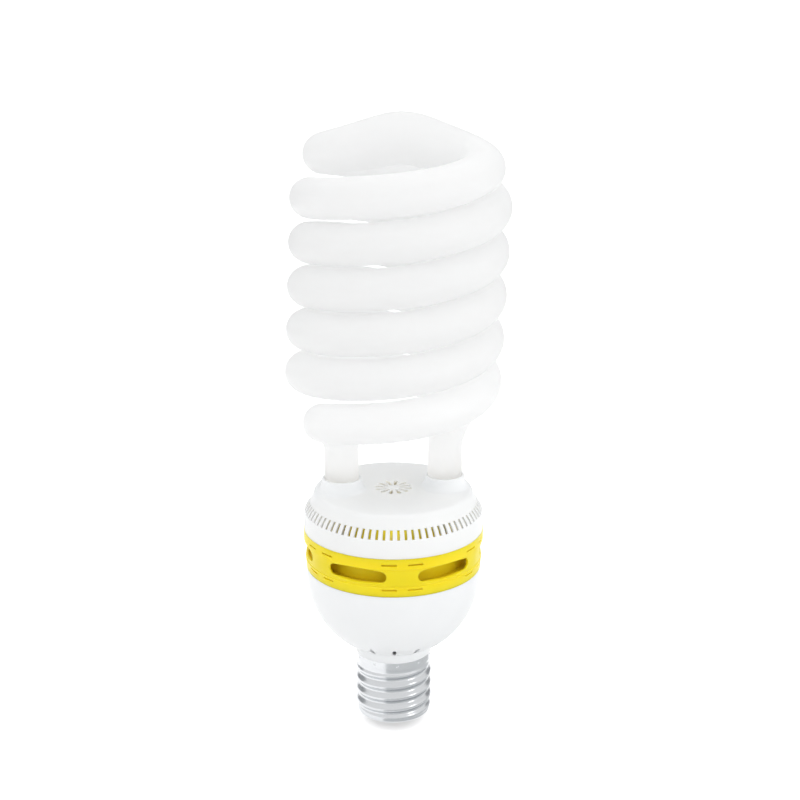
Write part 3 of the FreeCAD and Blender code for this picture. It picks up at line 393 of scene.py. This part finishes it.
def leg_route(x, end, way):
    """Points up a leg and round its bend, where the radius grows to the tube's."""
    rows = [(Vector((x, 0, z)), LEG_R) for z in steps(LEG_Z, LEG_TOP_Z, LEG_POINTS)]
    start = Vector((x, 0, LEG_TOP_Z))
    pull_up = start + Vector((0, 0, JOIN_PULL[0]))
    pull_back = end - way * JOIN_PULL[1]
    for t in steps(0.0, 1.0, JOIN_POINTS)[1:-1]:
        s = 1.0 - t
        point = start * s ** 3 + pull_up * (3 * s * s * t) + pull_back * (3 * s * t * t) + end * t ** 3
        rows.append((point, LEG_R + (TUBE_R - LEG_R) * smooth(t)))
    return rows


def strand(flip):
    """Whole strand from the foot of its leg to just before the axis."""
    coil = coil_route(flip)
    way = (coil[1][0] - coil[0][0]).normalized()
    return leg_route(-flip * LEG_X, coil[0][0], way) + coil


crown = [(leaned(bridge_point(1.0)), CROWN_R)]
route = strand(1) + crown + list(reversed(strand(-1)))
print("route: %d points" % len(route))

# %% [markdown]
# Glass along the route
#
# A poly curve takes the points of the route one by one. Its bevel is a circle of 48 points with the
# radius of the coil, and the radius of each point is a share of that. The mesh of the curve is
# closed at both feet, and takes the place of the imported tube.

# %% Tube along the route
SECTION_POINTS = 48

curve = bpy.data.curves.new("glass_route", "CURVE")
curve.dimensions = "3D"
curve.bevel_depth = TUBE_R * MM
curve.bevel_resolution = SECTION_POINTS // 2 - 2
curve.use_fill_caps = True
spline = curve.splines.new("POLY")
spline.points.add(len(route) - 1)
for target, (point, radius) in zip(spline.points, route):
    target.co = (*(point * MM), 1.0)
    target.radius = radius / TUBE_R
holder = bpy.data.objects.new("glass_route", curve)
scene.collection.objects.link(holder)
tube_mesh = bpy.data.meshes.new_from_object(holder)
bpy.data.objects.remove(holder)
tube_mesh.name = "glass_tube"
tube_mesh.shade_smooth()
tube = bpy.data.objects.new("glass_tube", tube_mesh)
scene.collection.objects.link(tube)
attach(tube, "root")
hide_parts("discharge_tube")
print("tube: %d faces" % len(tube_mesh.polygons))

# %% [markdown]
# Upper cover
#
# The cover is one thin moulding: a wall, a shoulder with a ring of slits, a flat top with a
# rosette, and two collars for the legs. The slits go through a wall of only 1.2 mm, which lets the
# eye see the yellow deck behind them. All but the collars repeats round the axis: a sixth of the
# round holds thirteen slits and two petals. That sixth is swept as a grid from its outline.

# %% One sixth of the cover
SECTORS = 6
COLUMNS = 130
TOP_Z = 128.4
SLIT_LOW = (44.8, 117.6)
SLIT_HIGH = (42.0, 121.8)
PETAL_LOW = (3.4, TOP_Z)
PETAL_HIGH = (8.8, TOP_Z)
wall_rows = [(45.3, 108.0), (45.0, 116.6), (44.95, 117.2)]
slit_rows = [SLIT_LOW, (43.6, 119.7), SLIT_HIGH]
shoulder_rows = [(41.5, 122.7), (41.05, 123.8), (40.65, 125.0), (40.25, 126.2), (39.75, 127.3),
                 (39.1, 128.0), (38.4, 128.3), (37.6, TOP_Z)]
top_rows = [(20.0, TOP_Z), (11.0, TOP_Z), PETAL_HIGH, PETAL_LOW, (0.0, TOP_Z)]

turn = 2 * math.pi / SECTORS
shell = bmesh.new()
swept(shell, wall_rows + slit_rows + shoulder_rows + top_rows, -turn / 2, turn, COLUMNS)
print("sixth of the cover: %d faces" % len(shell.faces))

# %% [markdown]
# Slits and rosette
#
# The columns of the grid are narrow enough for a slit to be four of them. So no cutter is needed:
# the faces of each opening are deleted from the grid. The outer end of each petal is then drawn out
# to a point.

# %% Openings in the sixth
SLITS = 78
SLIT_HALF = 0.9
PETALS = 12
PETAL_FIRST = 15.0
PETAL_HALF = 7.2
PETAL_POINT = 1.0
SAME_RADIUS = 0.01


def off_middle(point, count, first):
    """Angle in degrees from a point to the middle of the nearest of some openings round the axis."""
    pitch = 360.0 / count
    angle = math.degrees(math.atan2(point.y, point.x)) - first
    return abs((angle + pitch / 2) % pitch - pitch / 2)


def opened(bm, low, high, count, first, half):
    """Delete the faces of openings between two radii, each as wide as twice an angle."""
    gone = []
    for face in bm.faces:
        middle = face.calc_center_median() / MM
        if low < middle.xy.length < high and off_middle(middle, count, first) < half:
            gone.append(face)
    bmesh.ops.delete(bm, geom=gone, context="FACES")


opened(shell, SLIT_HIGH[0], SLIT_LOW[0], SLITS, 0.0, SLIT_HALF)
opened(shell, PETAL_LOW[0], PETAL_HIGH[0], PETALS, PETAL_FIRST, PETAL_HALF)
for vert in shell.verts:
    share = 1 - off_middle(vert.co, PETALS, PETAL_FIRST) / PETAL_HALF
    if share > 0 and abs(vert.co.xy.length / MM - PETAL_HIGH[0]) < SAME_RADIUS:
        vert.co.xy += vert.co.xy.normalized() * PETAL_POINT * share * MM
print("sixth of the cover: %d faces are left" % len(shell.faces))

# %% [markdown]
# The whole round
#
# Five copies of the sixth are spun round the axis, and the points along the seams are joined.

# %% Six sixths
WELD = 0.001

bmesh.ops.spin(shell, geom=shell.verts[:] + shell.edges[:] + shell.faces[:], cent=(0, 0, 0),
               axis=(0, 0, 1), angle=turn * (SECTORS - 1), steps=SECTORS - 1, use_duplicate=True)
bmesh.ops.remove_doubles(shell, verts=shell.verts[:], dist=WELD * MM)
bmesh.ops.recalc_face_normals(shell, faces=shell.faces[:])
print("cover: %d faces before it is thickened" % len(shell.faces))

# %% [markdown]
# Collars
#
# Each leg stands in a collar that flares into the top. The flare is a quarter of an ellipse: level
# where it meets the top and upright where it meets the collar, so neither end shows a crease. The
# profile is closed and swept round the axis, and the ring is then moved to its leg. A plain
# cylinder beside it will drill the hole in the top.

# %% Two collars and their holes
SHELL = 1.2
COLLAR_R = 10.0
COLLAR_BORE = 8.8
COLLAR_TOP = 134.7
COLLAR_FOOT = TOP_Z - 2 * SHELL
COLLAR_COLUMNS = 96
RIM_ROUND = 0.4
RIM_MIDDLE = 0.12
FLARE = 3.0
FLARE_H = 4.8
FLARE_POINTS = 12

flare = [(COLLAR_R + FLARE * (1 - math.sin(a)), TOP_Z + FLARE_H * (1 - math.cos(a)))
         for a in steps(0.0, math.pi / 2, FLARE_POINTS)]
rim = [(COLLAR_R, COLLAR_TOP - RIM_ROUND), (COLLAR_R - RIM_MIDDLE, COLLAR_TOP - RIM_MIDDLE),
       (COLLAR_R - RIM_ROUND, COLLAR_TOP)]
bore = [(COLLAR_BORE, COLLAR_TOP), (COLLAR_BORE, COLLAR_FOOT)]
foot = (COLLAR_R + FLARE, COLLAR_FOOT)
profile = [foot] + flare + rim + bore + [foot]
collars = bmesh.new()
drill = bmesh.new()
for x in (-LEG_X, LEG_X):
    before = set(collars.verts)
    swept(collars, profile, -math.pi, 2 * math.pi, COLLAR_COLUMNS, closed=True)
    made = [vert for vert in collars.verts if vert not in before]
    bmesh.ops.translate(collars, verts=made, vec=(x * MM, 0, 0))
    hole = bmesh.ops.create_cone(drill, cap_ends=True, segments=COLLAR_COLUMNS, radius1=COLLAR_R * MM,
                                 radius2=COLLAR_R * MM, depth=4 * SHELL * MM)["verts"]
    bmesh.ops.translate(drill, verts=hole, vec=(x * MM, 0, TOP_Z * MM))
bmesh.ops.remove_doubles(collars, verts=collars.verts[:], dist=WELD * MM)
bmesh.ops.recalc_face_normals(collars, faces=collars.faces[:])
print("collars: %d faces" % len(collars.faces))

# %% [markdown]
# One moulding
#
# The modifiers do the rest in the order of the workshop: thicken the skin inwards, drill the two
# holes, and join the collars. The result is one closed mesh, shaded smooth up to its sharp edges.

# %% Thicken, drill and join
SHARP = 32.0

holder = placed("cover", shell)
tools = {"DIFFERENCE": placed("drill", drill), "UNION": placed("collars", collars)}
wall = holder.modifiers.new("wall", "SOLIDIFY")
wall.thickness = SHELL * MM
wall.offset = -1.0
for operation, tool in tools.items():
    change = holder.modifiers.new(operation.lower(), "BOOLEAN")
    change.operation = operation
    change.object = tool
graph = bpy.context.evaluated_depsgraph_get()
thick = bpy.data.meshes.new_from_object(holder.evaluated_get(graph))
for used in (holder, *tools.values()):
    bpy.data.objects.remove(used)
thick.name = "upper_cover_shell"
thick.shade_smooth()
thick.set_sharp_from_angle(angle=math.radians(SHARP))
cover = bpy.data.objects.new("upper_cover_shell", thick)
scene.collection.objects.link(cover)
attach(cover, "root")
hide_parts("upper_cover")
print("cover: %d faces" % len(thick.polygons))

# %% [markdown]
# One recipe for made surfaces
#
# No made surface is one flat colour. Pigment settles unevenly, a mould leaves its grain and a
# powder coat runs. The recipe below mixes two close colours by a noise of a real size, lets a
# finer grain raise the surface a little, and lets the gloss follow the same noise. Each finish
# then gives its own colours and sizes in millimetres, and adds what only it has.

# %% Recipe for a made surface
NOISE_LOW = 0.3
NOISE_HIGH = 0.7


def object_space(tree, stretch=(1.0, 1.0, 1.0)):
    """Object coordinates in millimetres, stretched where the pattern is drawn out along an axis."""
    place = add(tree, "ShaderNodeTexCoord").outputs["Object"]
    scale = tuple(1.0 / (MM * s) for s in stretch)
    return add(tree, "ShaderNodeMapping", {"Vector": place, "Scale": scale}).outputs["Vector"]


def made_surface(name, colours, cloud, grain, relief, gloss, stretch=(1.0, 1.0, 1.0), **values):
    """Material whose two colours and gloss drift over clouds, with a fine grain in relief."""
    material, tree, shader = surface(name, **values)
    place = object_space(tree, stretch)
    clouds = add(tree, "ShaderNodeTexNoise",
                 {"Vector": place, "Scale": 1.0 / cloud, "Detail": 3.0}).outputs[0]
    mixed = add(tree, "ShaderNodeMix", {0: clouds, 6: linear(colours[0]), 7: linear(colours[1])},
                data_type="RGBA")
    tree.links.new(mixed.outputs[2], shader.inputs["Base Color"])
    rough = add(tree, "ShaderNodeMapRange",
                {0: clouds, 1: NOISE_LOW, 2: NOISE_HIGH, 3: gloss[0], 4: gloss[1]})
    tree.links.new(rough.outputs[0], shader.inputs["Roughness"])
    grains = add(tree, "ShaderNodeTexNoise",
                 {"Vector": place, "Scale": 1.0 / grain, "Detail": 2.0}).outputs[0]
    bump = add(tree, "ShaderNodeBump", {"Height": grains, "Strength": 1.0, "Distance": relief * MM})
    tree.links.new(bump.outputs[0], shader.inputs["Normal"])
    return material, tree, shader


finishes = {}
print("recipe: the gloss follows the noise from %.1f to %.1f" % (NOISE_LOW, NOISE_HIGH))

# %% [markdown]
# Glass of the tube
#
# The tube is drawn glass with a coat of white powder inside that glows when the lamp is on. Unlit
# it is a milky white: light passes through the thin coat, goes to and fro inside the tube and comes
# out again, so the bands look bright even where they nearly touch. A translucent shader mixed into
# the main one does this. The powder is washed in as a slurry and dries in faint clouds 40 mm wide,
# and the drawn glass over it has slow waves of 30 mm. The coat thins out down the legs, where it
# was wiped away for the seal, so more light passes there.

# %% Powder coated glass
THROUGH = 0.6
LEG_THROUGH = 0.9
COAT_FROM = 140.0
COAT_FULL = 156.0

coated_glass, tree, shader = made_surface(
    "drawn_glass_with_white_powder_coat", ("#f5f6f6", "#f8f8f8"), cloud=40.0, grain=30.0,
    relief=0.01, gloss=(0.38, 0.44), IOR=1.5, Specular_IOR_Level=0.9)
height = add(tree, "ShaderNodeSeparateXYZ", {0: object_space(tree)}).outputs["Z"]
coat = add(tree, "ShaderNodeMapRange", {0: height, 1: COAT_FROM, 2: COAT_FULL}).outputs[0]
milk = add(tree, "ShaderNodeMix", {0: coat, 6: linear("#ffffff"), 7: linear("#fafafa")},
           data_type="RGBA")
through = add(tree, "ShaderNodeBsdfTranslucent", {"Color": milk.outputs[2]})
amount = add(tree, "ShaderNodeMapRange", {0: coat, 3: LEG_THROUGH, 4: THROUGH}).outputs[0]
blend = add(tree, "ShaderNodeMixShader", {0: amount, 1: shader.outputs[0], 2: through.outputs[0]})
tree.links.new(blend.outputs[0], tree.nodes["Material Output"].inputs["Surface"])
finishes["coated_glass"] = coated_glass
tube_mesh.materials.clear()
tube_mesh.materials.append(coated_glass)
print("finish:", coated_glass.name)

# %% [markdown]
# White housing
#
# Both white mouldings are PBT, a hard polyester that stands heat. The mould was spark eroded, which
# leaves a very fine even grain and a soft sheen. The real grain is near 0.05 mm and would not show,
# so it is drawn at 0.5 mm and kept shallow. A little scatter lets light through the thin wall.

# %% Moulded white plastic
finishes["white_plastic"] = made_surface(
    "spark_grained_white_pbt", ("#eef0f2", "#f3f5f6"), cloud=22.0, grain=0.5, relief=0.012,
    gloss=(0.34, 0.42), IOR=1.5, Specular_IOR_Level=0.4, Subsurface_Weight=0.4, Subsurface_Scale=0.003,
    Subsurface_Radius=(1.0, 1.0, 1.0))[0]
thick.materials.clear()
thick.materials.append(finishes["white_plastic"])
print("finish:", finishes["white_plastic"].name)

# %% [markdown]
# Yellow vent ring
#
# The ring is the same plastic with a strong yellow pigment. The pigment follows the melt round the
# mould, so the colour drifts slowly along the ring and hardly at all across it. The noise is drawn
# out sideways for that. The walls are thin, so the yellow glows a little from within and its
# recesses stay a warm yellow instead of going grey.

# %% Moulded yellow plastic
finishes["yellow_plastic"] = made_surface(
    "spark_grained_yellow_pbt", ("#f8d512", "#fae02c"), cloud=9.0, grain=0.5, relief=0.012,
    gloss=(0.30, 0.40), stretch=(2.5, 2.5, 1.0), IOR=1.5, Specular_IOR_Level=0.2, Subsurface_Weight=0.8,
    Subsurface_Scale=0.004, Subsurface_Radius=(1.0, 0.9, 0.25))[0]
print("finish:", finishes["yellow_plastic"].name)

# %% [markdown]
# Plated screw cap
#
# The cap is drawn from brass sheet, rolled to the thread and plated with bright nickel. Rolling
# leaves very fine lines that run round it, and handling leaves it a touch duller in patches. The
# grain is drawn out round the cap: flat layers of noise 0.35 mm apart in height, which the eye
# reads as turned lines in the reflection.

# %% Bright nickel
finishes["nickel"] = made_surface(
    "rolled_brass_with_bright_nickel_plate", ("#c8cacd", "#d9dbdd"), cloud=2.5, grain=0.35,
    relief=0.010, gloss=(0.18, 0.28), stretch=(40.0, 40.0, 1.0), Metallic=1.0)[0]
print("finish:", finishes["nickel"].name)

# %% [markdown]
# Glass and contact at the foot
#
# The black ring at the foot is pressed glass, poured hot between the cap and the contact: glossy,
# with slow swirls. The contact is turned brass with a skin of solder, so it is dull silver with
# warm brass where it has worn, and shows rings from the lathe.

# %% Pressed black glass and the contact
LATHE_SCALE = 0.25
LATHE_DEPTH = 0.03

finishes["black_glass"] = made_surface(
    "pressed_black_glass", ("#0b0c10", "#1b1c22"), cloud=5.0, grain=3.0, relief=0.05,
    gloss=(0.06, 0.16), IOR=1.52)[0]
contact, tree, shader = made_surface(
    "turned_brass_with_solder", ("#b9b4a4", "#c9b27a"), cloud=2.2, grain=0.6, relief=0.02,
    gloss=(0.24, 0.42), Metallic=1.0)
rings = add(tree, "ShaderNodeTexWave",
            {"Vector": object_space(tree), "Scale": LATHE_SCALE, "Distortion": 0.4},
            wave_type="RINGS", rings_direction="Z")
lathe = add(tree, "ShaderNodeBump",
            {"Height": rings.outputs[0], "Strength": 0.6, "Distance": LATHE_DEPTH * MM})
tree.links.new(tree.nodes["Bump"].outputs[0], lathe.inputs["Normal"])
tree.links.new(lathe.outputs[0], shader.inputs["Normal"])
finishes["contact_brass"] = contact
print("finishes:", finishes["black_glass"].name, contact.name)

# %% [markdown]
# Cement round the legs
#
# The legs are set in a white filled cement, squeezed in as a paste. It dries matt and gritty with
# small pores, so the relief is coarse and the gloss is nearly gone.

# %% Filled cement
finishes["cement"] = made_surface(
    "squeezed_white_cement", ("#d9d6cd", "#eeece6"), cloud=2.0, grain=0.7, relief=0.18,
    gloss=(0.85, 0.95))[0]
print("finish:", finishes["cement"].name)

# %% [markdown]
# Circuit board
#
# The board is hard paper: sheets of paper pressed in resin. It is a warm brown, and the fibres lie
# along the sheet and show as fine streaks. The noise is drawn out six times along X for them.

# %% Pressed paper laminate
finishes["board_laminate"] = made_surface(
    "pressed_paper_laminate", ("#a9733a", "#c08a4c"), cloud=0.8, grain=0.4, relief=0.02,
    gloss=(0.42, 0.55), stretch=(6.0, 1.0, 1.0), IOR=1.5)[0]
print("finish:", finishes["board_laminate"].name)

# %% [markdown]
# Wound parts
#
# The cores are ferrite, pressed powder fired to a dark grey ceramic with a fine dry grain. The
# bobbin is black moulded nylon. The windings are enamelled copper: each turn is a round wire, and
# what the eye sees is a row of fine bright lines. A wave of 0.5 mm gives the turns as relief on
# the plain winding, and is coarser than the real wire so that it shows.

# %% Ferrite, bobbin and copper
WIRE_SCALE = 0.63
WIRE_DEPTH = 0.2

finishes["ferrite"] = made_surface(
    "fired_ferrite", ("#34353a", "#46474c"), cloud=1.5, grain=0.35, relief=0.05,
    gloss=(0.55, 0.75))[0]
finishes["bobbin_plastic"] = made_surface(
    "moulded_black_nylon", ("#17181a", "#222326"), cloud=6.0, grain=0.5, relief=0.015,
    gloss=(0.36, 0.46))[0]
copper, tree, shader = made_surface(
    "enamelled_copper_wire", ("#a24f22", "#c4703a"), cloud=1.2, grain=0.6, relief=0.02,
    gloss=(0.22, 0.34), Metallic=0.9, Coat_Weight=0.5, Coat_Roughness=0.15)
turns = add(tree, "ShaderNodeTexWave",
            {"Vector": object_space(tree), "Scale": WIRE_SCALE, "Distortion": 0.3},
            wave_type="BANDS", bands_direction="Z")
wound = add(tree, "ShaderNodeBump",
            {"Height": turns.outputs[0], "Strength": 1.0, "Distance": WIRE_DEPTH * MM})
tree.links.new(wound.outputs[0], shader.inputs["Normal"])
finishes["copper_wire"] = copper
print("finishes:", finishes["ferrite"].name, finishes["bobbin_plastic"].name, copper.name)

# %% [markdown]
# Capacitors
#
# The tall cans wear a shrunk plastic sleeve: dark, glossy, and drawn tight with slow ripples. The
# film capacitors were dipped in epoxy, which pulls back into an orange peel of about 1 mm.

# %% Shrunk sleeve and dipped epoxy
finishes["capacitor_sleeve"] = made_surface(
    "shrunk_dark_sleeve", ("#15233f", "#1f3156"), cloud=7.0, grain=2.4, relief=0.06,
    gloss=(0.18, 0.28), IOR=1.53)[0]
finishes["film_coating"] = made_surface(
    "dipped_red_epoxy", ("#7c2a1c", "#98402c"), cloud=3.0, grain=1.0, relief=0.06,
    gloss=(0.20, 0.32), IOR=1.55)[0]
print("finishes:", finishes["capacitor_sleeve"].name, finishes["film_coating"].name)

# %% [markdown]
# Small parts on the board
#
# Transistors and diodes are moulded black epoxy, matt from a blasted mould. The heat sink is
# rolled aluminium with streaks along the roll. The fuse resistor has a baked green paint, and the
# starter diode is a bead of blue glass.

# %% Epoxy, aluminium, paint and bead
finishes["epoxy"] = made_surface(
    "blasted_black_epoxy", ("#1a1a1b", "#262627"), cloud=3.0, grain=0.4, relief=0.03,
    gloss=(0.50, 0.64))[0]
finishes["sink_aluminium"] = made_surface(
    "rolled_aluminium", ("#b5b7ba", "#cfd1d3"), cloud=1.2, grain=0.4, relief=0.015,
    gloss=(0.26, 0.40), stretch=(1.0, 14.0, 1.0), Metallic=1.0)[0]
finishes["resistor_paint"] = made_surface(
    "baked_green_paint", ("#5c7f6a", "#76977f"), cloud=1.6, grain=0.7, relief=0.03,
    gloss=(0.34, 0.46))[0]
finishes["diac_glass"] = made_surface(
    "blue_glass_bead", ("#20438a", "#3563ad"), cloud=1.2, grain=1.0, relief=0.02,
    gloss=(0.06, 0.14), IOR=1.52)[0]
small_parts = ("epoxy", "sink_aluminium", "resistor_paint", "diac_glass")
print("finishes:", ", ".join(finishes[key].name for key in small_parts))

# %% [markdown]
# Pins and wires
#
# Pins and tube leads are steel wire dipped in tin, which freezes to a soft frosted silver. The two
# wires to the cap are copper in extruded insulation, which is smooth along the wire and faintly
# mottled.

# %% Tinned steel and insulation
finishes["tinned_steel"] = made_surface(
    "hot_tinned_steel", ("#bcbdbb", "#d3d4d2"), cloud=0.9, grain=0.4, relief=0.02,
    gloss=(0.24, 0.40), Metallic=1.0)[0]
finishes["red_insulation"] = made_surface(
    "extruded_red_insulation", ("#a01d1a", "#b72c26"), cloud=2.0, grain=0.8, relief=0.02,
    gloss=(0.38, 0.50))[0]
finishes["blue_insulation"] = made_surface(
    "extruded_blue_insulation", ("#1c4c9c", "#2a60b4"), cloud=2.0, grain=0.8, relief=0.02,
    gloss=(0.38, 0.50))[0]
print("finishes: %d in all" % len(finishes))

# %% [markdown]
# Dress the parts
#
# The record names a material slot for every part of the frame, so one loop gives each part its
# finish. The meshes stay as they were packed.

# %% Finish every part
for row in frame["record"]["subparts"]:
    for place in nodes[row["node"]].material_slots:
        place.material = finishes[row["material_slot"]]
